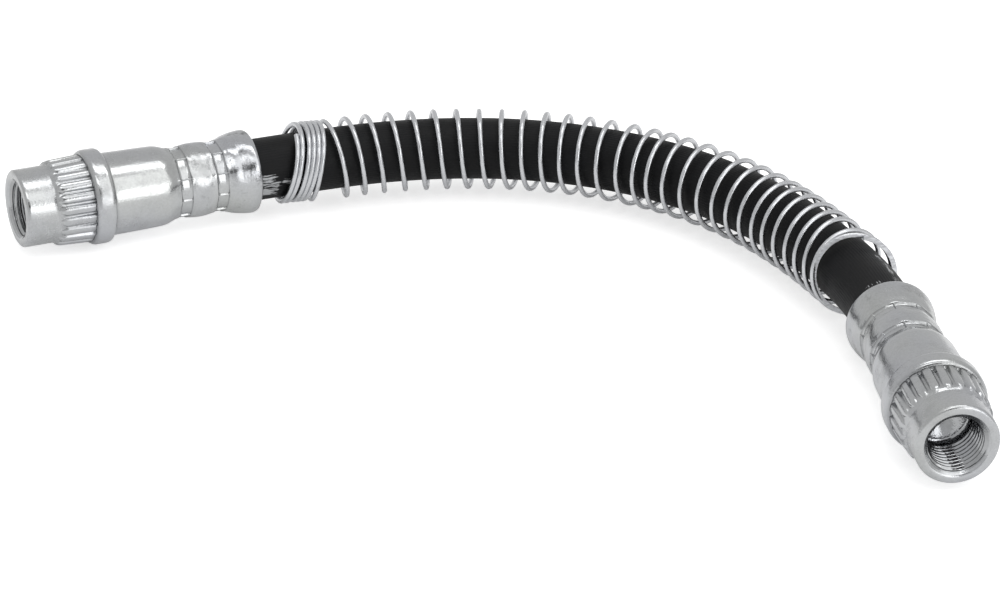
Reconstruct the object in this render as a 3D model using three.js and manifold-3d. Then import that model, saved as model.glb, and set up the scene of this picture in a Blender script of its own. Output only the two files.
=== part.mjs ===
// A brake hose: two turned steel end fittings with female threads, swaged onto a
// rubber hose, and a loose steel guard spring around the hose.
// Millimetres, +Z up. The hose lies flat, carried on the collars of its two fittings,
// and the origin is on that surface under the middle of the footprint.

import * as THREE from 'three';
import { mergeVertices } from 'three/addons/utils/BufferGeometryUtils.js';
import Module from 'manifold-3d';

const wasm = await Module();
wasm.setup();

// Distance in X between the hose's ends, and the route of its centreline seen from above,
// as shares of that distance. The first and last stretch are the straight ends inside the
// fittings, from the cut end of the hose to the fitting's rim.
const HOSE_SPAN = 135.35;
const HOSE_ROUTE = [
  [-0.4588, 0.2224], [-0.3007, 0.2963], [-0.2172, 0.3325], [-0.1308, 0.3635], [-0.0414, 0.3812],
  [0.0495, 0.3835], [0.1396, 0.3679], [0.2246, 0.3339], [0.3000, 0.2837], [0.3642, 0.2187],
  [0.4167, 0.1433], [0.4588, 0.0628], [0.4921, -0.0222], [0.5135, -0.1108], [0.5412, -0.2830],
];

// Clearance between a piece and the one that it is pressed or swaged onto
const SEAT_GAP = 0.3;

// Hose
const HOSE_DIAMETER = 11.2;
const HOSE_BORE = 3.2;

// Nose of a fitting, which a brake pipe's nut is screwed into. M10 x 1, minor diameter 8.9
const NOSE_DIAMETER = 13.8;
const NOSE_LENGTH = 5.6;
const NOSE_EDGE = 0.6;
const MOUTH_DIAMETER = 11;
const MOUTH_CHAMFER = 1.0;
const THREAD_BORE = 8.9;
const THREAD_DEPTH = 8.8;
const RELIEF_DIAMETER = 10.2;
const RELIEF_WIDTH = 1.5;
const SEAT_CONE_ANGLE = 118;
const PASSAGE_DIAMETER = 2.3;

// Splines, which stop the fitting from turning in its bracket
const SPLINE_COUNT = 22;
const SPLINE_HEIGHT = 0.85;
const SPLINE_LENGTH = 6.7;
const SPLINE_LEAD_IN = 1.0;
const SPLINE_CREST_SHARE = 0.34;
const SPLINE_ROOT_SHARE = 0.3;
const SPLINES_TURNED = 5;

// Collar behind the splines
const COLLAR_DIAMETER = 17;
const COLLAR_WIDTH = 4;
const COLLAR_EDGE = 0.8;

// Shell, swaged down onto the hose by two rings of jaws
const SHELL_DIAMETER = 14.7;
const SHELL_TAPER = 0.2;
const SHELL_WALL = 1.1;
const SHELL_LENGTH = 9.5;
const SHOULDER_LENGTH = 2.7;
const CRIMP_DIAMETER = 13;
const CRIMP_WIDTH = 2.2;
const CRIMP_SPACING = 6.85;
const CRIMP_JAWS = 10;
const JAW_DEPTH = 0.3;
const JAWS_TURNED = 8;
const BULGE_DIAMETER = 13.4;
const FLARE_DIAMETER = 15;
const FLARE_LENGTH = 4.8;
const RIM_LENGTH = 1.5;
const POCKET_BEHIND_COLLAR = 3.7;

// Nipple inside the hose
const NIPPLE_DIAMETER = 4;
const NIPPLE_SHORT_OF_RIM = 4;

// Guard spring, right-handed, wound from closed turns at one end to a ground end
const WIRE_DIAMETER = 0.9;
const SPRING_INSIDE_DIAMETER = 13;
const SPRING_START_FROM_RIM = 6.6;
const SPRING_START_ANGLE = 115;
const SPRING_TURNS = 36.9;
const GROUND_DEPTH = 0.25;

// Pitch of the spring at a number of turns from its first end. It has been stretched by
// hand, so its open turns aren't even.
const CLOSED_PITCH = 0.95;
const OPEN_PITCH = 4;
const SPRING_PITCH = [
  [0, CLOSED_PITCH], [1.45, CLOSED_PITCH], [1.6, OPEN_PITCH * 0.85], [1.75, CLOSED_PITCH],
  [5.1, CLOSED_PITCH], [5.25, OPEN_PITCH * 1.4], [6.3, OPEN_PITCH * 0.87], [8.5, OPEN_PITCH * 1.02],
  [14, OPEN_PITCH], [18, OPEN_PITCH * 0.95], [19.7, OPEN_PITCH * 1.1], [21.6, OPEN_PITCH * 0.74],
  [23.5, OPEN_PITCH * 1.08], [24.6, OPEN_PITCH * 1.12], [26, OPEN_PITCH * 0.96], [28.2, OPEN_PITCH],
  [29.6, OPEN_PITCH * 0.77], [31.5, OPEN_PITCH], [33.6, OPEN_PITCH * 0.74], [34.5, OPEN_PITCH * 1.44],
  [35.4, OPEN_PITCH * 0.59], [36, CLOSED_PITCH], [SPRING_TURNS, CLOSED_PITCH],
];

// How the turns sit on the hose, at a number of turns from the first end: the slope of
// their tops along the hose, that of their left sides along it, and the share of the play
// around the hose that they are lifted by
const SPRING_SEAT = [
  [0, 0.275, 0.12, 0.45], [5.1, 0.275, 0.12, 0.1], [5.9, -0.08, 0.1, -0.1], [20, 0, 0.07, -0.1],
  [28, 0.04, -0.03, -0.1], [34.2, -0.08, -0.18, -0.1], [36, -0.12, 0.22, 0.33],
  [SPRING_TURNS, -0.12, 0.22, 0.33],
];

// How far a cutter runs past what it cuts
const OVERCUT = 1;

// Facets
const TURNED_FACETS = 24;
const HOSE_FACETS = 12;
const BORE_FACETS = 8;
const HOSE_STEPS = 32;
const WIRE_FACETS = 6;
const FACETS_PER_TURN = 13;

const steel = new THREE.MeshStandardMaterial({ color: 0xc3c5c8, roughness: 0.35, metalness: 1 });
const springSteel = new THREE.MeshStandardMaterial({ color: 0xb4b6bb, roughness: 0.3, metalness: 1 });
const rubber = new THREE.MeshStandardMaterial({ color: 0x1b1c1e, roughness: 0.6, metalness: 0 });

// Stations along a fitting, measured from its nose face
const splineStart = NOSE_LENGTH;
const collarStart = splineStart + SPLINE_LENGTH;
const shellStart = collarStart + COLLAR_WIDTH;
const shoulderStart = shellStart + SHELL_LENGTH;
const firstCrimp = shoulderStart + SHOULDER_LENGTH + CRIMP_WIDTH / 2;
const secondCrimp = firstCrimp + CRIMP_SPACING;
const flareStart = secondCrimp + CRIMP_WIDTH / 2;
const flareEnd = flareStart + FLARE_LENGTH;
const rimEnd = flareEnd + RIM_LENGTH;
const pocketFloor = shellStart + POCKET_BEHIND_COLLAR;
const nippleEnd = rimEnd - NIPPLE_SHORT_OF_RIM;
const axisHeight = COLLAR_DIAMETER / 2;

const route = new THREE.CatmullRomCurve3(
  HOSE_ROUTE.map(([x, y]) => new THREE.Vector3(x * HOSE_SPAN, y * HOSE_SPAN, axisHeight)),
);

function solidFrom(geometry) {
  const bare = geometry.index ? geometry.toNonIndexed() : geometry;
  bare.deleteAttribute('normal');
  bare.deleteAttribute('uv');
  const merged = mergeVertices(bare);
  return new wasm.Manifold(new wasm.Mesh({
    numProp: 3,
    vertProperties: new Float32Array(merged.attributes.position.array),
    triVerts: new Uint32Array(merged.index.array),
  }));
}

function geometryFrom(solid) {
  const { vertProperties, triVerts } = solid.getMesh();
  const geometry = new THREE.BufferGeometry();
  geometry.setAttribute('position', new THREE.BufferAttribute(vertProperties, 3));
  geometry.setIndex(new THREE.BufferAttribute(triVerts, 1));
  return geometry;
}

function meshOf(name, solid, material) {
  const mesh = new THREE.Mesh(geometryFrom(solid), material);
  mesh.name = name;
  return mesh;
}

// A closed outline of [station, radius] pairs, turned about the X axis. It runs
// counter-clockwise with the station across and the radius up.
function turned(outline) {
  const points = [...outline, outline[0]].reverse().map(([station, radius]) => new THREE.Vector2(radius, station));
  const geometry = new THREE.LatheGeometry(points, TURNED_FACETS);
  return solidFrom(geometry.rotateZ(-Math.PI / 2));
}

// A flat outline in the plane across a fitting's axis, drawn out along it. Its X points to
// the left of the hose's way out of the fitting, and its Y up.
function drawnOut(shape, start, length, turnedBy) {
  const geometry = new THREE.ExtrudeGeometry(shape, { depth: length, bevelEnabled: false });
  geometry.rotateZ(THREE.MathUtils.degToRad(turnedBy) + Math.PI / 2);
  geometry.rotateY(Math.PI / 2);
  geometry.translate(start, 0, 0);
  return solidFrom(geometry);
}

function polygon(sides, radius, firstAngle = 0) {
  return Array.from({ length: sides }, (_, i) => {
    const angle = firstAngle + (2 * Math.PI * i) / sides;
    return new THREE.Vector2(radius * Math.cos(angle), radius * Math.sin(angle));
  });
}

// Outside of the shell from the collar to the rim, as [station, radius] pairs
function shellOutside() {
  const halfCrimp = CRIMP_WIDTH / 2;
  const between = (firstCrimp + secondCrimp) / 2;
  const bulge = BULGE_DIAMETER / 2;
  const crimp = CRIMP_DIAMETER / 2;
  const shell = SHELL_DIAMETER / 2;
  const flare = FLARE_DIAMETER / 2;
  return [
    [shellStart, shell],
    [shoulderStart, shell - SHELL_TAPER],
    [shoulderStart + SHOULDER_LENGTH / 2, (2 * shell + crimp) / 3 - SHELL_TAPER],
    [firstCrimp - halfCrimp, crimp],
    [firstCrimp + halfCrimp, crimp],
    [between - halfCrimp / 2, bulge],
    [between + halfCrimp / 2, bulge],
    [secondCrimp - halfCrimp, crimp],
    [secondCrimp + halfCrimp, crimp],
    [flareStart + FLARE_LENGTH * 0.4, crimp + (flare - crimp) * 0.6],
    [flareEnd, flare],
    [rimEnd - RIM_LENGTH * 0.3, flare - RIM_LENGTH * 0.15],
  ];
}

// Inside of the shell from the floor of its pocket to the rim. The same wall follows the
// crimps, and behind them the hose has its full size.
function shellInside() {
  const full = (HOSE_DIAMETER / 2) + SEAT_GAP;
  const swaged = shellOutside()
    .filter(([station]) => station > shoulderStart && station < rimEnd)
    .map(([station, radius]) => [station, Math.min(radius - SHELL_WALL, station < firstCrimp ? full : Infinity)]);
  return [[pocketFloor, full], [shoulderStart, full], ...swaged];
}

function splines() {
  const root = NOSE_DIAMETER / 2;
  const crest = root + SPLINE_HEIGHT;
  const pitch = (2 * Math.PI) / SPLINE_COUNT;
  const outline = [];
  for (let tooth = 0; tooth < SPLINE_COUNT; tooth += 1) {
    const middle = tooth * pitch;
    const halfCrest = (SPLINE_CREST_SHARE * pitch) / 2;
    const halfFoot = ((1 - SPLINE_ROOT_SHARE) * pitch) / 2;
    for (const [angle, radius] of [
      [middle - halfFoot, root], [middle - halfCrest, crest],
      [middle + halfCrest, crest], [middle + halfFoot, root],
    ]) {
      outline.push(new THREE.Vector2(radius * Math.cos(angle), radius * Math.sin(angle)));
    }
  }
  const inCollar = COLLAR_EDGE;
  const star = drawnOut(new THREE.Shape(outline), splineStart, SPLINE_LENGTH + inCollar, SPLINES_TURNED);
  const leadIn = turned([
    [splineStart, 0], [collarStart + inCollar, 0], [collarStart + inCollar, crest + SPLINE_HEIGHT],
    [splineStart + SPLINE_LEAD_IN, crest + 0.01], [splineStart, root - 0.01],
  ]);
  const middle = turned([
    [splineStart - OVERCUT, 0], [collarStart + COLLAR_WIDTH, 0],
    [collarStart + COLLAR_WIDTH, RELIEF_DIAMETER / 2 + SEAT_GAP],
    [splineStart - OVERCUT, RELIEF_DIAMETER / 2 + SEAT_GAP],
  ]);
  return star.intersect(leadIn).subtract(middle);
}

// What the jaws of the swaging tool press in around the shell. A ridge is left between
// each jaw and the next.
function jawRing(station) {
  const shape = new THREE.Shape(polygon(TURNED_FACETS, FLARE_DIAMETER));
  const flat = CRIMP_DIAMETER / 2 - JAW_DEPTH;
  shape.holes.push(new THREE.Path(polygon(CRIMP_JAWS, flat / Math.cos(Math.PI / CRIMP_JAWS))));
  return drawnOut(shape, station - CRIMP_WIDTH / 2, CRIMP_WIDTH, JAWS_TURNED);
}

function fittingSolid() {
  const nose = NOSE_DIAMETER / 2;
  const collar = COLLAR_DIAMETER / 2;
  const bore = THREAD_BORE / 2;
  const passage = PASSAGE_DIAMETER / 2;
  const nipple = NIPPLE_DIAMETER / 2;
  const relief = RELIEF_DIAMETER / 2;
  const seat = THREAD_DEPTH + RELIEF_WIDTH;
  const coneDepth = (bore - passage) / Math.tan(THREE.MathUtils.degToRad(SEAT_CONE_ANGLE / 2));
  const body = turned([
    [0, MOUTH_DIAMETER / 2], [MOUTH_CHAMFER, bore], [THREAD_DEPTH, bore], [THREAD_DEPTH, relief],
    [seat, relief], [seat, bore], [seat + coneDepth, passage], [nippleEnd, passage],
    [nippleEnd, nipple], [pocketFloor, nipple], ...shellInside(),
    [rimEnd, FLARE_DIAMETER / 2 - SHELL_WALL / 2], ...shellOutside().reverse(),
    [shellStart, collar - COLLAR_EDGE], [shellStart - COLLAR_EDGE, collar],
    [collarStart + COLLAR_EDGE, collar], [collarStart, collar - COLLAR_EDGE],
    [collarStart, nose], [NOSE_EDGE, nose], [0, nose - NOSE_EDGE],
  ]);
  return body.add(splines()).subtract(jawRing(firstCrimp)).subtract(jawRing(secondCrimp));
}

// The hose's end is at end, and the fitting's rim lies towards the point along.
function placeFitting(mesh, end, along) {
  const heading = new THREE.Vector3().subVectors(along, end).normalize();
  mesh.position.copy(end).addScaledVector(heading, -(pocketFloor + SEAT_GAP));
  mesh.rotation.z = Math.atan2(heading.y, heading.x);
  mesh.updateMatrixWorld();
  return mesh;
}

// What swaging takes from the end of the hose: the rubber that the shell squeezes in,
// and the bore that the nipple opens out
function swagedAway() {
  const inside = shellInside();
  const outer = FLARE_DIAMETER;
  const squeezed = turned([
    [pocketFloor - OVERCUT, outer], [pocketFloor - OVERCUT, inside[0][1] - SEAT_GAP],
    ...inside.map(([station, radius]) => [station, radius - SEAT_GAP]),
    [rimEnd, outer],
  ]);
  const opened = turned([
    [pocketFloor - OVERCUT, 0], [nippleEnd + SEAT_GAP, 0],
    [nippleEnd + SEAT_GAP, NIPPLE_DIAMETER / 2 + SEAT_GAP],
    [pocketFloor - OVERCUT, NIPPLE_DIAMETER / 2 + SEAT_GAP],
  ]);
  return squeezed.add(opened);
}

function hoseSolid(fittings) {
  const section = new THREE.Shape(polygon(HOSE_FACETS, HOSE_DIAMETER / 2));
  section.holes.push(new THREE.Path(polygon(BORE_FACETS, HOSE_BORE / 2)));
  const tube = solidFrom(new THREE.ExtrudeGeometry(section, { steps: HOSE_STEPS, extrudePath: route }));
  return fittings.reduce(
    (hose, fitting) => hose.subtract(swagedAway().transform(fitting.matrixWorld.elements)),
    tube,
  );
}

// Value of a table of [turn, value, ...] rows at a turn, with straight lines between rows
function atTurn(table, turn, column = 1) {
  const next = Math.max(1, table.findIndex(([at]) => at >= turn));
  const [from, to] = [table[next - 1], table[next]];
  return THREE.MathUtils.mapLinear(turn, from[0], to[0], from[column], to[column]);
}

// Distance along the hose that the spring has gained at a turn
function advanceAt(turn) {
  let advance = 0;
  for (let row = 1; row < SPRING_PITCH.length && SPRING_PITCH[row - 1][0] < turn; row += 1) {
    const [from, pitch] = SPRING_PITCH[row - 1];
    const to = Math.min(turn, SPRING_PITCH[row][0]);
    advance += ((pitch + atTurn(SPRING_PITCH, to)) / 2) * (to - from);
  }
  return advance;
}

const routeLength = route.getLength();
const rimOnRoute = rimEnd - pocketFloor - SEAT_GAP;

// Place and direction of the hose at a distance from the first fitting's rim
function hoseAt(distance) {
  const share = (rimOnRoute + distance) / routeLength;
  return { centre: route.getPointAt(share), along: route.getTangentAt(share) };
}

// Middle of the spring at a turn, and the two directions that its ring there lies in
function ringAt(turn) {
  const { centre, along } = hoseAt(SPRING_START_FROM_RIM + advanceAt(turn));
  const [top, side, lift] = [1, 2, 3].map((column) => atTurn(SPRING_SEAT, turn, column));
  const play = (SPRING_INSIDE_DIAMETER - HOSE_DIAMETER) / 2;
  return {
    middle: centre.add(new THREE.Vector3(0, 0, lift * play)),
    upright: new THREE.Vector3(0, 0, 1).addScaledVector(along, top).normalize(),
    sideways: new THREE.Vector3(-along.y, along.x, 0).addScaledVector(along, side).normalize(),
  };
}

class GuardSpring extends THREE.Curve {
  getPoint(t, target = new THREE.Vector3()) {
    const turn = t * SPRING_TURNS;
    const angle = THREE.MathUtils.degToRad(SPRING_START_ANGLE) + 2 * Math.PI * turn;
    const radius = (SPRING_INSIDE_DIAMETER + WIRE_DIAMETER) / 2;
    const { middle, upright, sideways } = ringAt(turn);
    return target.copy(middle)
      .addScaledVector(sideways, radius * Math.cos(angle))
      .addScaledVector(upright, radius * Math.sin(angle));
  }

  // Equal steps of angle, so that the facets of one turn lie beside those of the next
  getUtoTmapping(u) {
    return u;
  }
}

function springSolid() {
  const wire = solidFrom(new THREE.ExtrudeGeometry(new THREE.Shape(polygon(WIRE_FACETS, WIRE_DIAMETER / 2)), {
    steps: Math.round(SPRING_TURNS * FACETS_PER_TURN),
    extrudePath: new GuardSpring(),
  }));
  const { middle, upright, sideways } = ringAt(SPRING_TURNS);
  const facing = sideways.cross(upright).normalize();
  const stone = new THREE.BoxGeometry(WIRE_DIAMETER * 4, SPRING_INSIDE_DIAMETER * 2, SPRING_INSIDE_DIAMETER * 2);
  stone.translate(WIRE_DIAMETER * 2 - GROUND_DEPTH, 0, 0);
  stone.applyQuaternion(new THREE.Quaternion().setFromUnitVectors(new THREE.Vector3(1, 0, 0), facing));
  stone.translate(middle.x, middle.y, middle.z);
  return wire.subtract(solidFrom(stone));
}

const ends = route.points;
const leftFitting = placeFitting(meshOf('left_fitting', fittingSolid(), steel), ends[0], ends[1]);
const rightFitting = placeFitting(meshOf('right_fitting', fittingSolid(), steel), ends.at(-1), ends.at(-2));
const hose = meshOf('hose', hoseSolid([leftFitting, rightFitting]), rubber);
const spring = meshOf('guard_spring', springSolid(), springSteel);

const brakeHose = new THREE.Group();
brakeHose.add(leftFitting, rightFitting, hose, spring);

export default brakeHose;
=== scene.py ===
import bpy
import math
import random
from mathutils import Matrix, Vector


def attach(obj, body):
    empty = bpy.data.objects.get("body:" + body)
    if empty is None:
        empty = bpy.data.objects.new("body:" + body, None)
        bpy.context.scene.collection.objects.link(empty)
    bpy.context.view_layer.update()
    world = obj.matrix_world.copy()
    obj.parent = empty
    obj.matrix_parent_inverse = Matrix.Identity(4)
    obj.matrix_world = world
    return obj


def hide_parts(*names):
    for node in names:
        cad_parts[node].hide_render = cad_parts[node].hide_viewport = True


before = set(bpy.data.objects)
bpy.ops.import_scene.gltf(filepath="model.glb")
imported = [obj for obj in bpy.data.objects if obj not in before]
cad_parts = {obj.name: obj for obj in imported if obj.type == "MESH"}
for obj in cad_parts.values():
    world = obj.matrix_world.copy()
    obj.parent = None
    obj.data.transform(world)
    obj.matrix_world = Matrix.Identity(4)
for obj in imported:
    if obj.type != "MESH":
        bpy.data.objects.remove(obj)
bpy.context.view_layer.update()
scene = bpy.context.scene

# Camera, at the photo's long lens and its view down onto the hose, tipped by a degree
camera = bpy.data.objects.new("camera", bpy.data.cameras.new("camera"))
scene.collection.objects.link(camera)
camera.data.lens = 129.3
camera.data.sensor_width = 36
camera.matrix_world = (
    Matrix.Translation((0.00473, -0.55025, 0.27508))
    @ Matrix.Rotation(math.radians(90 - 26.216), 4, "X")
    @ Matrix.Rotation(math.radians(1.193), 4, "Z")
)
scene.camera = camera


# Hose: a black rubber tube with fine ribs along it, reinforced inside with cord. Each end
# is squeezed between a fitting's nipple and its crimped shell.
AXIS_HEIGHT = 0.0085
HOSE_ROUTE = [
    (-0.0621, 0.0301), (-0.0407, 0.0401), (-0.0294, 0.0450), (-0.0177, 0.0492), (-0.0056, 0.0516),
    (0.0067, 0.0519), (0.0189, 0.0498), (0.0304, 0.0452), (0.0406, 0.0384), (0.0493, 0.0296),
    (0.0564, 0.0194), (0.0621, 0.0085), (0.0666, -0.0030), (0.0695, -0.0150), (0.07325, -0.0383),
]
HOSE_RIBS = 68
RIM_FROM_HOSE_END = 0.02355
# Outer and inner radius of the hose at a distance from either of its ends
HOSE_SQUEEZE = [
    (0, 0.00558, 0.0023), (0.0059, 0.00558, 0.0023), (0.0082, 0.0051, 0.0023),
    (0.0104, 0.0051, 0.0023), (0.0130, 0.0053, 0.0023), (0.0150, 0.0051, 0.0023),
    (0.0172, 0.0051, 0.0023), (0.0196, 0.0054, 0.0023), (0.0200, 0.0055, 0.0016),
    (0.0220, 0.00558, 0.0016),
]


def route_curve(points, steps=40):
    """Points along a smooth curve through the route, as it is drawn in the CAD."""
    points = [Vector((x, y, AXIS_HEIGHT)) for x, y in points]
    first = points[0] * 2 - points[1]
    last = points[-1] * 2 - points[-2]
    padded = [first, *points, last]
    curve = []
    for a, b, c, d in zip(padded, padded[1:], padded[2:], padded[3:]):
        gaps = [max((q - p).length, 1e-9) ** 0.5 for p, q in ((a, b), (b, c), (c, d))]
        start = ((b - a) / gaps[0] - (c - a) / (gaps[0] + gaps[1]) + (c - b) / gaps[1]) * gaps[1]
        end = ((c - b) / gaps[1] - (d - b) / (gaps[1] + gaps[2]) + (d - c) / gaps[2]) * gaps[1]
        for i in range(steps):
            t = i / steps
            curve.append(
                b * (2 * t**3 - 3 * t**2 + 1) + start * (t**3 - 2 * t**2 + t)
                + c * (3 * t**2 - 2 * t**3) + end * (t**3 - t**2)
            )
    curve.append(points[-1])
    return curve


hose_line = route_curve(HOSE_ROUTE)
hose_distance = [0.0]
for a, b in zip(hose_line, hose_line[1:]):
    hose_distance.append(hose_distance[-1] + (b - a).length)
HOSE_LENGTH = hose_distance[-1]


def between(table, at, column=1):
    """Value of a table of (place, value, ...) rows at a place, straight between the rows."""
    if at <= table[0][0]:
        return table[0][column]
    for low, high in zip(table, table[1:]):
        if at <= high[0]:
            share = (at - low[0]) / (high[0] - low[0])
            return low[column] + (high[column] - low[column]) * share
    return table[-1][column]


def hose_at(distance):
    """Centre and direction of the hose at a distance from its left end."""
    distance = min(max(distance, 0.0), HOSE_LENGTH)
    low, high = 0, len(hose_distance) - 1
    while high - low > 1:
        halfway = (low + high) // 2
        if hose_distance[halfway] <= distance:
            low = halfway
        else:
            high = halfway
    share = (distance - hose_distance[low]) / (hose_distance[high] - hose_distance[low])
    centre = hose_line[low].lerp(hose_line[high], share)
    before = hose_line[max(low - 2, 0)]
    after = hose_line[min(high + 2, len(hose_line) - 1)]
    return centre, (after - before).normalized()


def link_mesh(name, vertices, faces, uvs):
    """A new smooth object. uvs has one pair for each corner of each face."""
    mesh = bpy.data.meshes.new(name)
    mesh.from_pydata(vertices, [], faces)
    layer = mesh.uv_layers.new(name="UVMap")
    layer.data.foreach_set("uv", [value for pair in uvs for value in pair])
    mesh.polygons.foreach_set("use_smooth", [True] * len(mesh.polygons))
    mesh.update()
    piece = bpy.data.objects.new(name, mesh)
    scene.collection.objects.link(piece)
    return piece


def ring_skin(rings, around):
    """Faces and UVs that join rings of vertices, and the last ring to the first.

    U runs once around a ring, and V along the rings.
    """
    faces = []
    uvs = []
    for i in range(rings):
        j = (i + 1) % rings
        for k in range(around):
            m = (k + 1) % around
            faces.append((i * around + k, i * around + m, j * around + m, j * around + k))
            u0, u1 = k / around, (k + 1) / around
            v0, v1 = i / rings, (i + 1) / rings
            uvs += [(u0, v0), (u1, v0), (u1, v1), (u0, v1)]
    return faces, uvs


HOSE_SIDES = 72
outer_stations = [HOSE_LENGTH * i / 320 for i in range(321)]
hose_section = [(s, between(HOSE_SQUEEZE, min(s, HOSE_LENGTH - s), 1)) for s in outer_stations]
hose_section += [(s, between(HOSE_SQUEEZE, min(s, HOSE_LENGTH - s), 2)) for s in reversed(outer_stations)]
hose_vertices = []
for station, radius in hose_section:
    centre, along = hose_at(station)
    across = Vector((-along.y, along.x, 0))
    for k in range(HOSE_SIDES):
        angle = -2 * math.pi * k / HOSE_SIDES
        side = across * math.cos(angle) + Vector((0, 0, 1)) * math.sin(angle)
        hose_vertices.append(centre + side * radius)
hose_faces, hose_uvs = ring_skin(len(hose_section), HOSE_SIDES)
hose = link_mesh("rubber_hose", hose_vertices, hose_faces, hose_uvs)


def bump_between(value, low, high, soft):
    """1 between low and high, falling to 0 over soft on both sides."""
    return min(max(min(value - low, high - value) / soft + 1, 0), 1)


# Plain scuffs beside the fittings, as (from, to) along the hose, (from, to) around it as a share
# of a turn from its left side over its underside, and how strong
SCUFFS = [
    ((0.0225, 0.0270), (0.40, 0.49), 0.95), ((0.0225, 0.0266), (0.505, 0.525), 1.0),
    ((0.0280, 0.0335), (0.470, 0.490), 1.0), ((0.1580, 0.1655), (0.81, 0.84), 0.86),
    ((0.1662, 0.1692), (0.80, 0.84), 0.85), ((0.1686, 0.1690), (0.64, 0.73), 0.82),
]
SCUFF_FADE_ALONG = 0.0016
SCUFF_FADE_AROUND = 0.026
worn = hose.data.attributes.new("worn", "FLOAT", "POINT")
worn_values = []
for station, radius in hose_section[:len(outer_stations)]:
    for k in range(HOSE_SIDES):
        worn_values.append(max(
            strength * bump_between(station, along[0], along[1], SCUFF_FADE_ALONG)
            * bump_between(k / HOSE_SIDES, around[0], around[1], SCUFF_FADE_AROUND)
            for along, around, strength in SCUFFS
        ))
worn_values += [0.0] * (len(hose_vertices) - len(worn_values))
worn.data.foreach_set("value", worn_values)

hose_rubber = bpy.data.materials.new("hose_rubber")
hose_rubber.use_nodes = True
nodes = hose_rubber.node_tree.nodes
links = hose_rubber.node_tree.links
shader = nodes["Principled BSDF"]
shader.inputs["Specular IOR Level"].default_value = 0.16
uv = nodes.new("ShaderNodeUVMap")
uv.uv_map = "UVMap"


def add_node(kind, settings, **inputs):
    """A node in the tree that is being made. An input goes by its name, or by its place as i0, i1."""
    node = nodes.new(kind)
    for name, value in settings.items():
        setattr(node, name, value)
    for name, value in inputs.items():
        socket = node.inputs[int(name[1:])] if name[0] == "i" and name[1:].isdigit() else node.inputs[name]
        if isinstance(value, bpy.types.NodeSocket):
            links.new(value, socket)
        else:
            socket.default_value = value
    return node


around = add_node("ShaderNodeSeparateXYZ", {}, Vector=uv.outputs["UV"])
rib_turns = add_node(
    "ShaderNodeMath", {"operation": "MULTIPLY"}, i0=around.outputs["X"], i1=2 * math.pi * HOSE_RIBS,
)
rib_wave = add_node("ShaderNodeMath", {"operation": "SINE"}, i0=rib_turns.outputs[0])
rib_height = add_node(
    "ShaderNodeMapRange", {}, Value=rib_wave.outputs[0],
    **{"From Min": -1.0, "From Max": 0.4, "To Min": 0.0, "To Max": 1.0},
)
stretched = add_node(
    "ShaderNodeMapping", {}, Vector=uv.outputs["UV"], Scale=(HOSE_RIBS * 1.7, 150, 1),
)
strokes = add_node(
    "ShaderNodeTexNoise", {}, Vector=stretched.outputs[0], Scale=1.0, Detail=4.0, Roughness=0.7,
)
worn_place = add_node("ShaderNodeAttribute", {"attribute_name": "worn"})
scuff_limit = add_node(
    "ShaderNodeMapRange", {}, Value=worn_place.outputs["Fac"],
    **{"From Min": 0.0, "From Max": 1.0, "To Min": 0.95, "To Max": 0.43},
)
above = add_node(
    "ShaderNodeMath", {"operation": "SUBTRACT"}, i0=strokes.outputs["Fac"], i1=scuff_limit.outputs[0],
)
scuffed = add_node(
    "ShaderNodeMath", {"operation": "MULTIPLY", "use_clamp": True}, i0=above.outputs[0], i1=12.0,
)
cloud_place = add_node("ShaderNodeTexCoord", {})
clouds = add_node(
    "ShaderNodeTexNoise", {}, Vector=cloud_place.outputs["Object"], Scale=160.0, Detail=5.0,
    Roughness=0.65,
)
rubber_colour = add_node("ShaderNodeValToRGB", {}, Fac=clouds.outputs["Fac"])
rubber_colour.color_ramp.elements[0].position = 0.35
rubber_colour.color_ramp.elements[0].color = (0.004, 0.004, 0.0045, 1)
rubber_colour.color_ramp.elements[1].position = 0.72
rubber_colour.color_ramp.elements[1].color = (0.0078, 0.0084, 0.0095, 1)
scuff_colour = add_node(
    "ShaderNodeMix", {"data_type": "RGBA"}, Factor=scuffed.outputs[0], i6=rubber_colour.outputs["Color"],
    i7=(0.46, 0.47, 0.48, 1),
)
links.new(scuff_colour.outputs[2], shader.inputs["Base Color"])
rubber_roughness = add_node(
    "ShaderNodeMapRange", {}, Value=clouds.outputs["Fac"],
    **{"From Min": 0.3, "From Max": 0.7, "To Min": 0.42, "To Max": 0.62},
)
links.new(rubber_roughness.outputs[0], shader.inputs["Roughness"])
grain = add_node("ShaderNodeTexNoise", {}, Vector=cloud_place.outputs["Object"], Scale=2600.0, Detail=2.0)
rib_and_grain = add_node(
    "ShaderNodeMath", {"operation": "MULTIPLY_ADD"}, i0=grain.outputs["Fac"], i1=0.35,
    i2=rib_height.outputs[0],
)
rib_strength = add_node(
    "ShaderNodeMapRange", {}, Value=clouds.outputs["Fac"],
    **{"From Min": 0.35, "From Max": 0.65, "To Min": 0.15, "To Max": 0.75},
)
rib_bump = add_node(
    "ShaderNodeBump", {}, Height=rib_and_grain.outputs[0], Distance=0.00005,
    Strength=rib_strength.outputs[0],
)
links.new(rib_bump.outputs[0], shader.inputs["Normal"])
hose.data.materials.append(hose_rubber)
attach(hose, "root")
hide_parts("hose")


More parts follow.
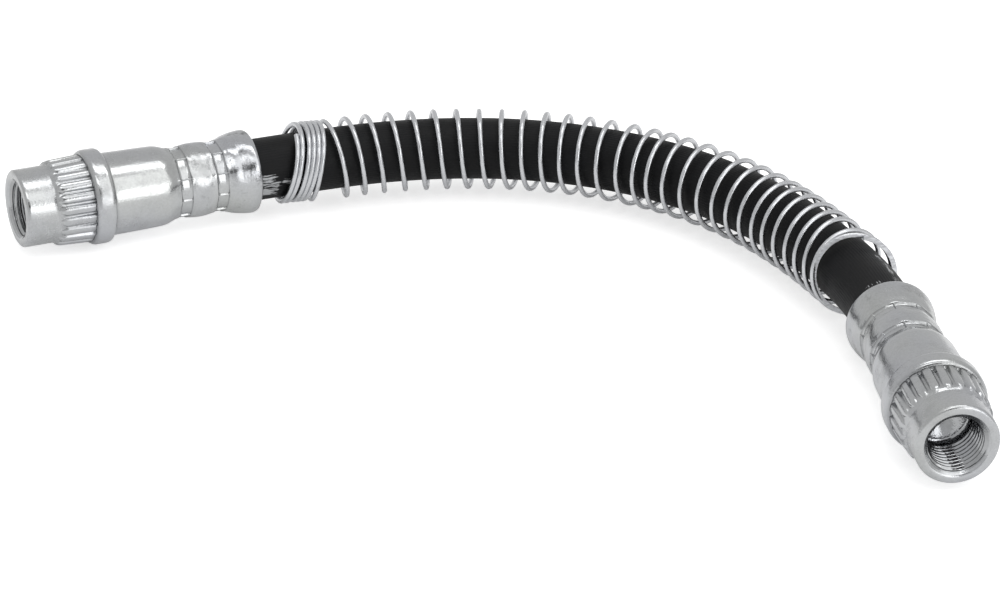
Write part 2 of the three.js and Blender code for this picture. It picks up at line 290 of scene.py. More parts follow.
# Guard spring: hard-drawn steel wire, wound with a few closed turns at one end, stretched
# loosely along the hose, and closed and ground flat at the other end.
WIRE_RADIUS = 0.00045
COIL_RADIUS = 0.00695
SPRING_START = RIM_FROM_HOSE_END + 0.0066
SPRING_START_ANGLE = math.radians(111)
SPRING_TURNS = 36.91
SPRING_PITCH = [
    (0, 0.95), (1.45, 0.95), (1.6, 3.4), (1.75, 0.95), (5.42, 0.95), (5.5, 7.97), (6.3, 3.48),
    (8.5, 4.08), (14, 4.0), (18, 3.8), (19.7, 4.4), (21.6, 2.96), (23.5, 4.32), (24.6, 4.48),
    (26, 3.84), (28.2, 4.0), (29.6, 3.08), (31.5, 4.0), (33.6, 2.96), (34.5, 5.76),
    (35.3, 3.9), (35.42, 0.95), (36.91, 0.95),
]
# Slope of the turns' tops and of their left sides along the hose, and the coil's height on it
SPRING_LEAN = [
    (0, 0.275, 0.12, 0.0004), (5.1, 0.275, 0.12, 0.0001), (5.9, -0.08, 0.1, -0.0001),
    (20, 0, 0.07, -0.0001), (28, 0.04, -0.03, -0.0001), (34.2, -0.08, -0.18, -0.0001),
    (36, -0.12, 0.22, 0.0003), (36.9, -0.12, 0.22, 0.0003),
]
# How much metal the grinding wheel leaves above the wire's middle, by turns from the end
GROUND_LEFT = [(0, 0.00006), (0.5, 0.00012), (0.85, 0.0002), (1.05, WIRE_RADIUS)]
WIRE_SIDES = 16
STEPS_PER_TURN = 48

spring_steps = round(SPRING_TURNS * STEPS_PER_TURN)
spring_points = []
metal_left = []
advance = 0.0
for i in range(spring_steps + 1):
    turn = SPRING_TURNS * i / spring_steps
    if i:
        pitch = between(SPRING_PITCH, turn - SPRING_TURNS / spring_steps / 2) / 1000
        advance += pitch * SPRING_TURNS / spring_steps
    centre, along = hose_at(SPRING_START + advance)
    across = Vector((-along.y, along.x, 0))
    angle = SPRING_START_ANGLE + 2 * math.pi * turn
    top, side, lift = (between(SPRING_LEAN, turn, column) for column in (1, 2, 3))
    upright = Vector((0, 0, 1)) + along * top
    sideways = across + along * side
    outward = sideways.normalized() * math.cos(angle) + upright.normalized() * math.sin(angle)
    spring_points.append(centre + outward * COIL_RADIUS + Vector((0, 0, lift)))
    metal_left.append(between(GROUND_LEFT, SPRING_TURNS - turn))
ground_facing = sideways.cross(upright).normalized()

spring_mesh = bpy.data.meshes.new("guard_spring_wire")
spring_mesh.from_pydata(spring_points, [(i, i + 1) for i in range(spring_steps)], [])
spring = bpy.data.objects.new("guard_spring_wire", spring_mesh)
scene.collection.objects.link(spring)
middle = spring_mesh.attributes.new("middle", "FLOAT_VECTOR", "POINT")
middle.data.foreach_set("vector", [value for point in spring_points for value in point])
spring_mesh.attributes.new("metal_left", "FLOAT", "POINT").data.foreach_set("value", metal_left)

# The wire drawn along its centre line, and its last turn ground flat
ground_wire = bpy.data.node_groups.new("ground_wire", "GeometryNodeTree")
for name, kind in (
    ("Centre Line", "NodeSocketGeometry"), ("Wire Radius", "NodeSocketFloat"), ("Sides", "NodeSocketInt"),
    ("Ground Facing", "NodeSocketVector"), ("Finish", "NodeSocketMaterial"),
):
    ground_wire.interface.new_socket(name, in_out="INPUT", socket_type=kind)
ground_wire.interface.new_socket("Wire", in_out="OUTPUT", socket_type="NodeSocketGeometry")
nodes = ground_wire.nodes
links = ground_wire.links
given = nodes.new("NodeGroupInput")
made = nodes.new("NodeGroupOutput")
centre_line = add_node("GeometryNodeMeshToCurve", {}, Mesh=given.outputs["Centre Line"])
section = add_node(
    "GeometryNodeCurvePrimitiveCircle", {}, Resolution=given.outputs["Sides"],
    Radius=given.outputs["Wire Radius"],
)
drawn_wire = add_node(
    "GeometryNodeCurveToMesh", {}, Curve=centre_line.outputs[0],
    **{"Profile Curve": section.outputs["Curve"], "Fill Caps": True},
)
middle_of_wire = add_node("GeometryNodeInputNamedAttribute", {"data_type": "FLOAT_VECTOR"}, Name="middle")
left_on_wire = add_node("GeometryNodeInputNamedAttribute", {"data_type": "FLOAT"}, Name="metal_left")
here = nodes.new("GeometryNodeInputPosition")
from_middle = add_node(
    "ShaderNodeVectorMath", {"operation": "SUBTRACT"}, i0=here.outputs[0], i1=middle_of_wire.outputs[0],
)
height = add_node(
    "ShaderNodeVectorMath", {"operation": "DOT_PRODUCT"}, i0=from_middle.outputs[0],
    i1=given.outputs["Ground Facing"],
)
excess = add_node(
    "ShaderNodeMath", {"operation": "SUBTRACT"}, i0=height.outputs["Value"], i1=left_on_wire.outputs[0],
)
ground_off = add_node("ShaderNodeMath", {"operation": "MAXIMUM"}, i0=excess.outputs[0], i1=0.0)
is_ground = add_node("ShaderNodeMath", {"operation": "GREATER_THAN"}, i0=excess.outputs[0], i1=0.0)
marked = add_node(
    "GeometryNodeStoreNamedAttribute", {"data_type": "FLOAT", "domain": "POINT"},
    Geometry=drawn_wire.outputs[0],
    Name="ground_face", Value=is_ground.outputs[0],
)
inward = add_node(
    "ShaderNodeVectorMath", {"operation": "SCALE"}, i0=given.outputs["Ground Facing"], Scale=-1.0,
)
cut = add_node(
    "ShaderNodeVectorMath", {"operation": "SCALE"}, i0=inward.outputs[0], Scale=ground_off.outputs[0],
)
ground = add_node("GeometryNodeSetPosition", {}, Geometry=marked.outputs[0], Offset=cut.outputs[0])
rounded = add_node("GeometryNodeSetShadeSmooth", {}, Geometry=ground.outputs[0], **{"Shade Smooth": True})
face_mark = add_node("GeometryNodeInputNamedAttribute", {"data_type": "FLOAT"}, Name="ground_face")
whole_face = add_node("ShaderNodeMath", {"operation": "GREATER_THAN"}, i0=face_mark.outputs[0], i1=0.99)
crisp = add_node(
    "GeometryNodeSetShadeSmooth", {}, Geometry=rounded.outputs[0], Selection=whole_face.outputs[0],
    **{"Shade Smooth": False},
)
whole = add_node("GeometryNodeRealizeInstances", {}, Geometry=crisp.outputs[0])
finished = add_node(
    "GeometryNodeSetMaterial", {}, Geometry=whole.outputs[0], Material=given.outputs["Finish"],
)
links.new(finished.outputs[0], made.inputs["Wire"])

# The cloudy, finely grained look of worn bright steel: patches that are duller and rougher
# than the rest, and a grain that breaks up reflections
steel_grain = bpy.data.node_groups.new("steel_grain", "ShaderNodeTree")
for name, kind, value in (
    ("Place", "NodeSocketVector", None), ("Patch Scale", "NodeSocketFloat", 250.0),
    ("Grain Scale", "NodeSocketFloat", 2500.0), ("Bright Roughness", "NodeSocketFloat", 0.15),
    ("Dull Roughness", "NodeSocketFloat", 0.4), ("Dull Tone", "NodeSocketFloat", 0.8),
):
    socket = steel_grain.interface.new_socket(name, in_out="INPUT", socket_type=kind)
    if value is not None:
        socket.default_value = value
for name in ("Tone", "Roughness", "Height"):
    steel_grain.interface.new_socket(name, in_out="OUTPUT", socket_type="NodeSocketFloat")
nodes = steel_grain.nodes
links = steel_grain.links
given = nodes.new("NodeGroupInput")
made = nodes.new("NodeGroupOutput")
patches = add_node(
    "ShaderNodeTexNoise", {}, Vector=given.outputs["Place"], Scale=given.outputs["Patch Scale"],
    Detail=5.0, Roughness=0.68,
)
specks = add_node(
    "ShaderNodeTexNoise", {}, Vector=given.outputs["Place"], Scale=given.outputs["Grain Scale"],
    Detail=2.0, Roughness=0.6,
)
dull = add_node(
    "ShaderNodeMapRange", {}, Value=patches.outputs["Fac"],
    **{"From Min": 0.48, "From Max": 0.7, "To Min": 0.0, "To Max": 1.0},
)
tone_left = add_node(
    "ShaderNodeMapRange", {}, Value=dull.outputs[0],
    **{"From Min": 0.0, "From Max": 1.0, "To Min": 1.0, "To Max": given.outputs["Dull Tone"]},
)
speck_tone = add_node(
    "ShaderNodeMapRange", {}, Value=specks.outputs["Fac"],
    **{"From Min": 0.3, "From Max": 0.7, "To Min": 0.95, "To Max": 1.05},
)
tone = add_node(
    "ShaderNodeMath", {"operation": "MULTIPLY"}, i0=tone_left.outputs[0], i1=speck_tone.outputs[0],
)
roughness = add_node(
    "ShaderNodeMapRange", {}, Value=dull.outputs[0],
    **{
        "From Min": 0.0, "From Max": 1.0, "To Min": given.outputs["Bright Roughness"],
        "To Max": given.outputs["Dull Roughness"],
    },
)
links.new(tone.outputs[0], made.inputs["Tone"])
links.new(roughness.outputs[0], made.inputs["Roughness"])
links.new(specks.outputs["Fac"], made.inputs["Height"])

spring_steel = bpy.data.materials.new("spring_wire")
spring_steel.use_nodes = True
nodes = spring_steel.node_tree.nodes
links = spring_steel.node_tree.links
shader = nodes["Principled BSDF"]
shader.inputs["Metallic"].default_value = 1
place = add_node("ShaderNodeTexCoord", {})
wire_grain = add_node(
    "ShaderNodeGroup", {"node_tree": steel_grain}, Place=place.outputs["Object"],
    **{
        "Patch Scale": 420.0, "Grain Scale": 3600.0, "Bright Roughness": 0.26, "Dull Roughness": 0.38,
        "Dull Tone": 0.92,
    },
)
nicks = add_node(
    "ShaderNodeTexNoise", {}, Vector=place.outputs["Object"], Scale=900.0, Detail=3.0, Roughness=0.6,
)
nick_tone = add_node(
    "ShaderNodeMapRange", {}, Value=nicks.outputs["Fac"],
    **{"From Min": 0.68, "From Max": 0.74, "To Min": 1.0, "To Max": 0.55},
)
wire_tone = add_node(
    "ShaderNodeMath", {"operation": "MULTIPLY"}, i0=wire_grain.outputs["Tone"], i1=nick_tone.outputs[0],
)
across_face = add_node("ShaderNodeMapping", {}, Vector=place.outputs["Object"], Scale=(900, 250, 3500))
brushed = add_node("ShaderNodeTexNoise", {}, Vector=across_face.outputs[0], Scale=1.0, Detail=3.0)
wheel_marks = add_node(
    "ShaderNodeMapRange", {}, Value=brushed.outputs["Fac"],
    **{"From Min": 0.35, "From Max": 0.65, "To Min": 1.05, "To Max": 1.5},
)
face_place = add_node("ShaderNodeAttribute", {"attribute_name": "ground_face"})
steel_tone = add_node(
    "ShaderNodeMix", {"data_type": "FLOAT"}, i0=face_place.outputs["Fac"], i2=wire_tone.outputs[0],
    i3=wheel_marks.outputs[0],
)
wire_colour = add_node(
    "ShaderNodeMix", {"data_type": "RGBA", "blend_type": "MULTIPLY"}, i0=1.0, i6=(0.62, 0.63, 0.65, 1),
    i7=steel_tone.outputs[0],
)
links.new(wire_colour.outputs[2], shader.inputs["Base Color"])
wire_roughness = add_node(
    "ShaderNodeMix", {"data_type": "FLOAT"}, i0=face_place.outputs["Fac"],
    i2=wire_grain.outputs["Roughness"], i3=0.5,
)
links.new(wire_roughness.outputs[0], shader.inputs["Roughness"])
wire_bump = add_node(
    "ShaderNodeBump", {}, Height=wire_grain.outputs["Height"], Distance=0.000006, Strength=0.5,
)
links.new(wire_bump.outputs[0], shader.inputs["Normal"])

winding = spring.modifiers.new("ground_wire", "NODES")
winding.node_group = ground_wire
for name, value in (
    ("Wire Radius", WIRE_RADIUS), ("Sides", WIRE_SIDES), ("Ground Facing", ground_facing),
    ("Finish", spring_steel),
):
    winding[ground_wire.interface.items_tree[name].identifier] = value
wound = spring.evaluated_get(bpy.context.evaluated_depsgraph_get())
spring.data = bpy.data.meshes.new_from_object(wound)
spring.modifiers.clear()
for name in ("middle", "metal_left"):
    spring.data.attributes.remove(spring.data.attributes[name])
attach(spring, "root")
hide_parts("guard_spring")


# End fittings: two alike, turned from steel bar with a threaded mouth, rolled splines and a
# collar, zinc plated, and then crimped onto the hose by two rings of ten jaws.
NOSE_LENGTH = 0.0058
TOOTH_LEAD_IN = 0.0011
TOOTH_TIP_SHARE = 0.4
TEETH_MEET_COLLAR = 0.0123
# Under the collar's edge the mesh's lines swing from the teeth to the jaws
SWING_START = 0.0133
SWING_LENGTH = 0.0021
POCKET_FLOOR = 0.0200
FITTING_SETBACK = POCKET_FLOOR + 0.0003
THREAD_PITCH = 0.001
SPLINES = 22
JAWS = 10
# Outside of the fitting from its nose face to its rim, as (distance from the face, radius)
OUTSIDE = [
    (0.0000, 0.0065), (0.0001, 0.00667), (0.00022, 0.0068), (0.0004, 0.0069), (0.0030, 0.0069),
    (0.0054, 0.0069), (0.0056, 0.00695), (0.0058, 0.00706), (0.0060, 0.00714), (0.0063, 0.0072),
    (0.0066, 0.0072), (0.0069, 0.0072), (0.0090, 0.0072), (0.0120, 0.0072),
    (0.0123, 0.0072), (0.0123, 0.0077), (0.01235, 0.0080), (0.0125, 0.0082), (0.0128, 0.0084),
    (0.0132, 0.0085), (0.0141, 0.0085), (0.0151, 0.0085), (0.0154, 0.00845), (0.0157, 0.0083),
    (0.0159, 0.0080), (0.0160, 0.0076), (0.0160, 0.0074), (0.0170, 0.0074), (0.0200, 0.00735),
    (0.0230, 0.0073), (0.0258, 0.00722), (0.0266, 0.00708), (0.0274, 0.0068), (0.0280, 0.00655),
    (0.02845, 0.0065), (0.02855, 0.0065), (0.02865, 0.0065), (0.0296, 0.0065), (0.03055, 0.0065),
    (0.03065, 0.0065), (0.03075, 0.0065), (0.0312, 0.00657), (0.0320, 0.00668), (0.0330, 0.0067),
    (0.0340, 0.00668), (0.0349, 0.00657), (0.0353, 0.0065), (0.0354, 0.0065), (0.0355, 0.0065),
    (0.03645, 0.0065), (0.0374, 0.0065), (0.0375, 0.0065), (0.0376, 0.0065), (0.0381, 0.0066),
    (0.0392, 0.0070), (0.0405, 0.0073), (0.0418, 0.0075), (0.0427, 0.00756),
    (0.0431, 0.00752), (0.0434, 0.0074), (0.0436, 0.0071), (0.0437, 0.0067),
]
# Inside, from the rim back over the nipple and out of the threaded mouth
INSIDE = [
    (0.0436, 0.0064), (0.0425, 0.0061), (0.0410, 0.0059), (0.0375, 0.0054), (0.0354, 0.0054),
    (0.0340, 0.0056), (0.0320, 0.0056), (0.0307, 0.0054), (0.0285, 0.0054), (0.0265, 0.0059),
    (0.0200, 0.0059), (0.0200, 0.0040), (0.0200, 0.0020), (0.0396, 0.0020), (0.0398, 0.0018),
    (0.0398, 0.0013), (0.0396, 0.00115), (0.0300, 0.00115), (0.0122, 0.00115), (0.0120, 0.0015),
    (0.0103, 0.0044), (0.0103, 0.0051), (0.0090, 0.0051),
]
THREAD_DEPTH = 0.0088
THREAD_MINOR = 0.00445
THREAD_MAJOR = 0.0050
MOUTH_RADIUS = 0.0055
MOUTH_CHAMFER = 0.001
THREAD_STEPS = 88
# Middles of the two rings of jaws, half a jaw's length, and the length of its sloping side
JAW_RINGS = (0.0296, 0.03645)
JAW_HALF_LENGTH = 0.00095
JAW_WALL = 0.00012
JAW_DEPTH = 0.0004
RIDGE_SWELL = 0.00009
RIM_BURR = 0.00022

# Where the mesh's lines run lengthwise across one tooth, with the rise of the tooth there,
# and across one jaw, with how far in the jaw has pressed
TOOTH_LINES = [
    (0, 0), (0.08, 0), (0.11, 0.12), (0.19, 0.8), (0.23, 0.94), (0.5, 1), (0.77, 0.94),
    (0.81, 0.8), (0.89, 0.12), (0.92, 0),
]
TOOTH_UNEVENNESS = 0.3
JAW_LINES = [
    (0, 0), (0.012, 0.1), (0.022, 0.6), (0.032, 0.86), (0.045, 0.9), (0.06, 0.9), (0.09, 0.9),
    (0.15, 0.94), (0.22, 0.97), (0.3, 0.99), (0.4, 1), (0.5, 1), (0.6, 1), (0.7, 0.99),
    (0.78, 0.97), (0.85, 0.94), (0.91, 0.9), (0.94, 0.9), (0.955, 0.9), (0.968, 0.86),
    (0.978, 0.6), (0.988, 0.1),
]
tooth_lean = random.Random(7)
TOOTH_LEAN = [tooth_lean.uniform(-TOOTH_UNEVENNESS, TOOTH_UNEVENNESS) for tooth in range(SPLINES)]
TOOTH_RISE = [
    rise * (1 + TOOTH_LEAN[tooth] * (place - 0.5))
    for tooth in range(SPLINES)
    for place, rise in TOOTH_LINES
]
TOOTH_PLACE = [place for tooth in range(SPLINES) for place, rise in TOOTH_LINES]
JAW_PRESS = [press for jaw in range(JAWS) for place, press in JAW_LINES]
TOOTH_ANGLES = [
    2 * math.pi * (tooth + place) / SPLINES
    for tooth in range(SPLINES) for place, rise in TOOTH_LINES
]
JAW_ANGLES = [2 * math.pi * (jaw + place) / JAWS for jaw in range(JAWS) for place, press in JAW_LINES]


def fine_stations(table, spacing):
    """The table's rows with more rows between those that are far apart."""
    rows = []
    for low, high in zip(table, table[1:]):
        count = max(1, math.ceil(abs(high[0] - low[0]) / spacing))
        for i in range(count):
            share = i / count
            rows.append(tuple(p + (q - p) * share for p, q in zip(low, high)))
    rows.append(table[-1])
    return rows


def lead_in(station):
    """0 at the teeth's tips, 1 where they have their full size."""
    return min(max((station - NOSE_LENGTH) / TOOTH_LEAD_IN, 0), 1)


def spline_height(station):
    """How far the splines' crests stand above their roots at a distance from the face."""
    rise = lead_in(station)
    return (0.0004 + 0.00026 * min(max((station - 0.0066) / 0.0055, 0), 1)) * rise * (2 - rise)


def from_jaws(station):
    """Distance along the fitting from the middle of the nearer ring of jaws."""
    return min(abs(station - ring) for ring in JAW_RINGS)


def jaw_reach(station):
    """1 under the middle of a ring of jaws, 0 clear of them."""
    return 1 - min(max((from_jaws(station) - JAW_HALF_LENGTH) / JAW_WALL, 0), 1)


def jaw_swell(station):
    """How much the metal beside the jaws is drawn in with them: 0 far off, 1 next to them."""
    return min(max(1 - (from_jaws(station) - 0.0011) / 0.0022, 0), 1) if from_jaws(station) > 0.00105 else 0


def fitting_mesh(name, end, towards, teeth_turned, jaws_turned, burr, wear):
    """One fitting, with its crimped shell over the hose's end and its rim facing towards.

    The mesh's lines follow the teeth up to the collar, and the jaws behind it. burr is the
    height of the nicks on the rim's edge, and wear how much the flare is dented and mottled darker.
    """
    heading = (towards - end).normalized()
    face = end - heading * FITTING_SETBACK
    across = Vector((-heading.y, heading.x, 0))
    up = Vector((0, 0, 1))
    lines = len(TOOTH_ANGLES)
    shift = round((teeth_turned - jaws_turned) / (2 * math.pi) * lines)
    rings = []
    for station, radius in fine_stations(OUTSIDE, 0.0005):
        toothed = NOSE_LENGTH < station < 0.01232 and radius < 0.0073
        reach = jaw_reach(station) * JAW_DEPTH
        swell = jaw_swell(station) * RIDGE_SWELL
        rings.append([(
            station,
            radius + (TOOTH_RISE[k] * spline_height(station) if toothed else 0)
            - JAW_PRESS[(k + shift) % lines] * reach
            + swell * math.cos(JAW_ANGLES[(k + shift) % lines] * JAWS),
        ) for k in range(lines)])
    rings += [[row] * lines for row in fine_stations(INSIDE, 0.002)]
    for i in range(THREAD_STEPS + 1):
        station = THREAD_DEPTH * (1 - i / THREAD_STEPS)
        chamfer = MOUTH_RADIUS - (MOUTH_RADIUS - THREAD_MINOR) * min(station / MOUTH_CHAMFER, 1)
        ring = []
        for angle in TOOTH_ANGLES:
            phase = (station / THREAD_PITCH - angle / (2 * math.pi)) % 1
            ridge = min(max((0.5 - abs(phase - 0.5)) / 0.42, 0.05), 1)
            ring.append((station, max(THREAD_MAJOR - (THREAD_MAJOR - THREAD_MINOR) * ridge, chamfer)))
        rings.append(ring)
    vertices = []
    for ring in rings:
        for k, (station, radius) in enumerate(ring):
            width = TOOTH_TIP_SHARE + (1 - TOOTH_TIP_SHARE) * lead_in(station) if TOOTH_PLACE[k] else 1
            if station < NOSE_LENGTH - 0.001:
                width = 1
            narrowed = TOOTH_ANGLES[k] + (0.5 - TOOTH_PLACE[k]) * (1 - width) * 2 * math.pi / SPLINES
            tooth_angle = narrowed + teeth_turned
            jaw_angle = JAW_ANGLES[(k + shift) % lines] + jaws_turned
            apart = (jaw_angle - tooth_angle + math.pi) % (2 * math.pi) - math.pi
            angle = tooth_angle + apart * min(max((station - SWING_START) / SWING_LENGTH, 0), 1)
            if 0.0434 < station and radius > 0.0063:
                radius += burr * max(math.sin(angle * 57 + 3 * math.sin(angle * 11)), 0) * max(
                    math.sin(angle), 0,
                )
            side = across * math.cos(angle) + up * math.sin(angle)
            vertices.append(face + heading * station + side * radius)
    faces, uvs = ring_skin(len(rings), lines)
    fitting = link_mesh(name, vertices, [f[::-1] for f in faces], uvs)
    crevice_shade = []
    worked = []
    machined_and_shaded = []
    satin = []
    for ring in rings:
        for k, (station, radius) in enumerate(ring):
            # Painted shade: the plating is darkened in the grooves between the teeth, by the collar's edges
            # and on the jaws' sloping walls
            between_teeth = (1 - TOOTH_RISE[k]) * lead_in(station) if station < TEETH_MEET_COLLAR else 0
            by_collar = bump_between(station, 0.0118, 0.01232, 0.0003) + bump_between(
                station, 0.01602, 0.0162, 0.0002,
            )
            pad_wall = 1 if 0.1 < jaw_reach(station) < 0.9 else 0
            outside = 1 if radius > 0.0062 else 0
            # Inside the threaded mouth: smoother plating, darkened with painted shade
            machined_and_shaded.append(1.0 if radius < 0.0061 and 0.0003 < station < 0.0121 else 0.0)
            satin.append(outside * (bump_between(station, -1, NOSE_LENGTH, 0.001)
                                    + 0.5 * bump_between(station, 0.008, 0.0159, 0.001)))
            crevice_shade.append(outside * min(0.3 * between_teeth + 0.5 * by_collar + 0.7 * pad_wall, 1))
            worked.append(outside * wear * (0.55 * bump_between(station, 0.0315, 0.0345, 0.0008)
                                            + 1.0 * bump_between(station, 0.0402, 0.05, 0.0015)))
    for attribute, values in (
        ("crevice_shade", crevice_shade), ("worked", worked), ("machined_and_shaded", machined_and_shaded), ("satin", satin),
    ):
        fitting.data.attributes.new(attribute, "FLOAT", "POINT").data.foreach_set("value", values)
    return fitting


zinc_plate = bpy.data.materials.new("zinc_plated_steel")
zinc_plate.use_nodes = True
nodes = zinc_plate.node_tree.nodes
links = zinc_plate.node_tree.links
shader = nodes["Principled BSDF"]
shader.inputs["Metallic"].default_value = 1
place = add_node("ShaderNodeTexCoord", {})
plating = add_node(
    "ShaderNodeGroup", {"node_tree": steel_grain}, Place=place.outputs["Object"],
    **{
        "Patch Scale": 190.0, "Grain Scale": 2600.0, "Bright Roughness": 0.17, "Dull Roughness": 0.34,
        "Dull Tone": 0.88,
    },
)
# Darker mottles over the worked flare
flare_mottles = add_node(
    "ShaderNodeTexNoise", {}, Vector=place.outputs["Object"], Scale=300.0, Detail=6.0, Roughness=0.72,
)
mottled = add_node(
    "ShaderNodeMapRange", {}, Value=flare_mottles.outputs["Fac"],
    **{"From Min": 0.56, "From Max": 0.68, "To Min": 1.0, "To Max": 0.35},
)
# Painted shade: darker plating in the grooves between the teeth, by the collar's edges and on the jaws'
# sloping walls
crevice_shade = add_node("ShaderNodeAttribute", {"attribute_name": "crevice_shade"})
painted_shade = add_node(
    "ShaderNodeMapRange", {}, Value=crevice_shade.outputs["Fac"],
    **{"From Min": 0.0, "From Max": 1.0, "To Min": 1.0, "To Max": 0.45},
)
flare = add_node("ShaderNodeAttribute", {"attribute_name": "worked"})
mottle_share = add_node(
    "ShaderNodeMix", {"data_type": "FLOAT"}, i0=flare.outputs["Fac"], i2=1.0, i3=mottled.outputs[0],
)
tone = add_node(
    "ShaderNodeMath", {"operation": "MULTIPLY"}, i0=plating.outputs["Tone"], i1=painted_shade.outputs[0],
)
mottled_tone = add_node(
    "ShaderNodeMath", {"operation": "MULTIPLY"}, i0=tone.outputs[0], i1=mottle_share.outputs[0],
)
# Inside the threaded mouth: lower roughness, and painted shade that darkens the plating
mouth = add_node("ShaderNodeAttribute", {"attribute_name": "machined_and_shaded"})
painted_mouth_shade = add_node(
    "ShaderNodeMapRange", {}, Value=mouth.outputs["Fac"],
    **{"From Min": 0.0, "From Max": 1.0, "To Min": 1.0, "To Max": 0.8},
)
zinc_tone = add_node(
    "ShaderNodeMath", {"operation": "MULTIPLY"}, i0=mottled_tone.outputs[0], i1=painted_mouth_shade.outputs[0],
)
tints = add_node("ShaderNodeTexNoise", {}, Vector=place.outputs["Object"], Scale=60.0, Detail=2.0)
tint_share = add_node(
    "ShaderNodeMapRange", {}, Value=tints.outputs["Fac"],
    **{"From Min": 0.35, "From Max": 0.65, "To Min": 0.0, "To Max": 1.0},
)
zinc_tint = add_node(
    "ShaderNodeMix", {"data_type": "RGBA"}, Factor=tint_share.outputs[0], i6=(0.49, 0.5, 0.525, 1),
    i7=(0.505, 0.515, 0.51, 1),
)
zinc_colour = add_node(
    "ShaderNodeMix", {"data_type": "RGBA", "blend_type": "MULTIPLY"}, i0=1.0, i6=zinc_tint.outputs[2],
    i7=zinc_tone.outputs[0],
)
links.new(zinc_colour.outputs[2], shader.inputs["Base Color"])
satin = add_node("ShaderNodeAttribute", {"attribute_name": "satin"})
outside_roughness = add_node(
    "ShaderNodeMath", {"operation": "MULTIPLY_ADD"}, i0=satin.outputs["Fac"], i1=0.05,
    i2=plating.outputs["Roughness"],
)
zinc_roughness = add_node(
    "ShaderNodeMix", {"data_type": "FLOAT"}, i0=mouth.outputs["Fac"], i2=outside_roughness.outputs[0],
    i3=0.09,
)
links.new(zinc_roughness.outputs[0], shader.inputs["Roughness"])
dents = add_node(
    "ShaderNodeTexNoise", {}, Vector=place.outputs["Object"], Scale=170.0, Detail=1.0, Roughness=0.4,
)
dent_height = add_node(
    "ShaderNodeMath", {"operation": "MULTIPLY"}, i0=dents.outputs["Fac"], i1=flare.outputs["Fac"],
)
dented = add_node("ShaderNodeBump", {}, Height=dent_height.outputs[0], Distance=0.0007, Strength=1.0)
zinc_bump = add_node(
    "ShaderNodeBump", {}, Height=plating.outputs["Height"], Distance=0.00003, Strength=0.75,
    Normal=dented.outputs[0],
)
links.new(zinc_bump.outputs[0], shader.inputs["Normal"])

ends = [Vector((x, y, AXIS_HEIGHT)) for x, y in HOSE_ROUTE]
teeth_turned = math.radians(-2.9)
left_fitting = fitting_mesh("left_end_fitting", ends[0], ends[1], teeth_turned, math.radians(8), 0, 1)
right_fitting = fitting_mesh(
    "right_end_fitting", ends[-1], ends[-2], teeth_turned, math.radians(7), RIM_BURR, 0.45,
)
for fitting, node in ((left_fitting, "left_fitting"), (right_fitting, "right_fitting")):
    fitting.data.materials.append(zinc_plate)
    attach(fitting, "root")
    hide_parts(node)


# Floor and backdrop: one plain white sheet that the hose lies on
floor_mesh = bpy.data.meshes.new("floor")
floor_mesh.from_pydata([(-3, -3, 0), (3, -3, 0), (3, 3, 0), (-3, 3, 0)], [], [(0, 1, 2, 3)])
floor = bpy.data.objects.new("floor", floor_mesh)
scene.collection.objects.link(floor)
white_paper = bpy.data.materials.new("white_paper")
white_paper.use_nodes = True
nodes = white_paper.node_tree.nodes
links = white_paper.node_tree.links
shader = nodes["Principled BSDF"]
shader.inputs["Base Color"].default_value = (0.8, 0.8, 0.8, 1)
shader.inputs["Roughness"].default_value = 0.9
shader.inputs["Specular IOR Level"].default_value = 0.2
shader.inputs["Emission Color"].default_value = (1, 1, 1, 1)
light_path = nodes.new("ShaderNodeLightPath")
seen_in_metal = add_node(
    "ShaderNodeMath", {"operation": "MULTIPLY"}, i0=light_path.outputs["Is Glossy Ray"], i1=0.2,
)
seen = add_node(
    "ShaderNodeMath", {"operation": "MULTIPLY_ADD"}, i0=light_path.outputs["Is Camera Ray"], i1=0.6,
    i2=seen_in_metal.outputs[0],
)
links.new(seen.outputs[0], shader.inputs["Emission Strength"])
floor.data.materials.append(white_paper)

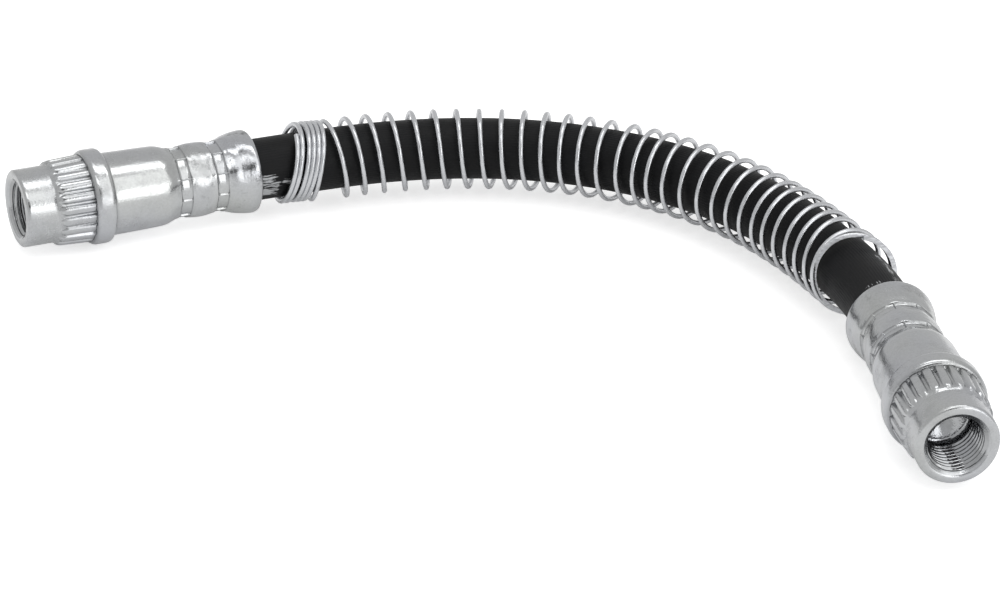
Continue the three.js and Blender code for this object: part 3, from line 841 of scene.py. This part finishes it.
# Dark card behind the camera, the unlit side of the studio that polished steel shows
card_mesh = bpy.data.meshes.new("dark_card")
card_mesh.from_pydata(
    [(0.06, -0.72, 0.27), (0.40, -0.62, 0.27), (0.36, -0.50, 0.56), (0.02, -0.60, 0.56)], [],
    [(0, 1, 2, 3)],
)
dark_card = bpy.data.objects.new("dark_card", card_mesh)
scene.collection.objects.link(dark_card)
dark_card.visible_camera = False
dark_card.visible_shadow = False
black_felt = bpy.data.materials.new("black_felt")
black_felt.use_nodes = True
black_felt.node_tree.nodes["Principled BSDF"].inputs["Base Color"].default_value = (0.02, 0.02, 0.02, 1)
black_felt.node_tree.nodes["Principled BSDF"].inputs["Roughness"].default_value = 0.9
dark_card.data.materials.append(black_felt)

# Studio light: an even pale room, softboxes overhead, near the camera and low at front right,
# and behind the last one a wide panel that gives the metal its broad bands
world = bpy.data.worlds.new("studio")
scene.world = world
world.use_nodes = True
nodes = world.node_tree.nodes
links = world.node_tree.links
background = nodes["Background"]
background.inputs["Color"].default_value = (1, 1, 1, 1)
light_path = nodes.new("ShaderNodeLightPath")
room = nodes.new("ShaderNodeMapRange")
room.inputs["To Min"].default_value = 0.7
room.inputs["To Max"].default_value = 1
links.new(light_path.outputs["Is Camera Ray"], room.inputs["Value"])
links.new(room.outputs["Result"], background.inputs["Strength"])
for name, place, facing, size, power in (
    ("overhead_softbox", (0.2, 0.11, 0.9), (0, 0, -1), (0.7, 0.27), 1.45),
    ("near_softbox", (0.0, -0.5, 0.9), (0, 0, -1), (0.4, 0.3), 0.75),
    ("front_softbox", (0.72, -0.77, 0.27), (-0.68, 0.73, 0), (0.7, 0.5), 1.7),
    ("wide_panel", (1.0, -0.85, 1.1), (-0.56, 0.44, -0.7), (1.3, 1.5), 5.6),
):
    lamp = bpy.data.lights.new(name, "AREA")
    lamp.shape = "RECTANGLE"
    lamp.size, lamp.size_y = size
    lamp.energy = power
    lamp_object = bpy.data.objects.new(name, lamp)
    scene.collection.objects.link(lamp_object)
    lamp_object.location = place
    lamp_object.rotation_euler = Vector(facing).to_track_quat("-Z", "Y").to_euler()
    lamp_object.visible_camera = False
scene.view_settings.view_transform = "Standard"
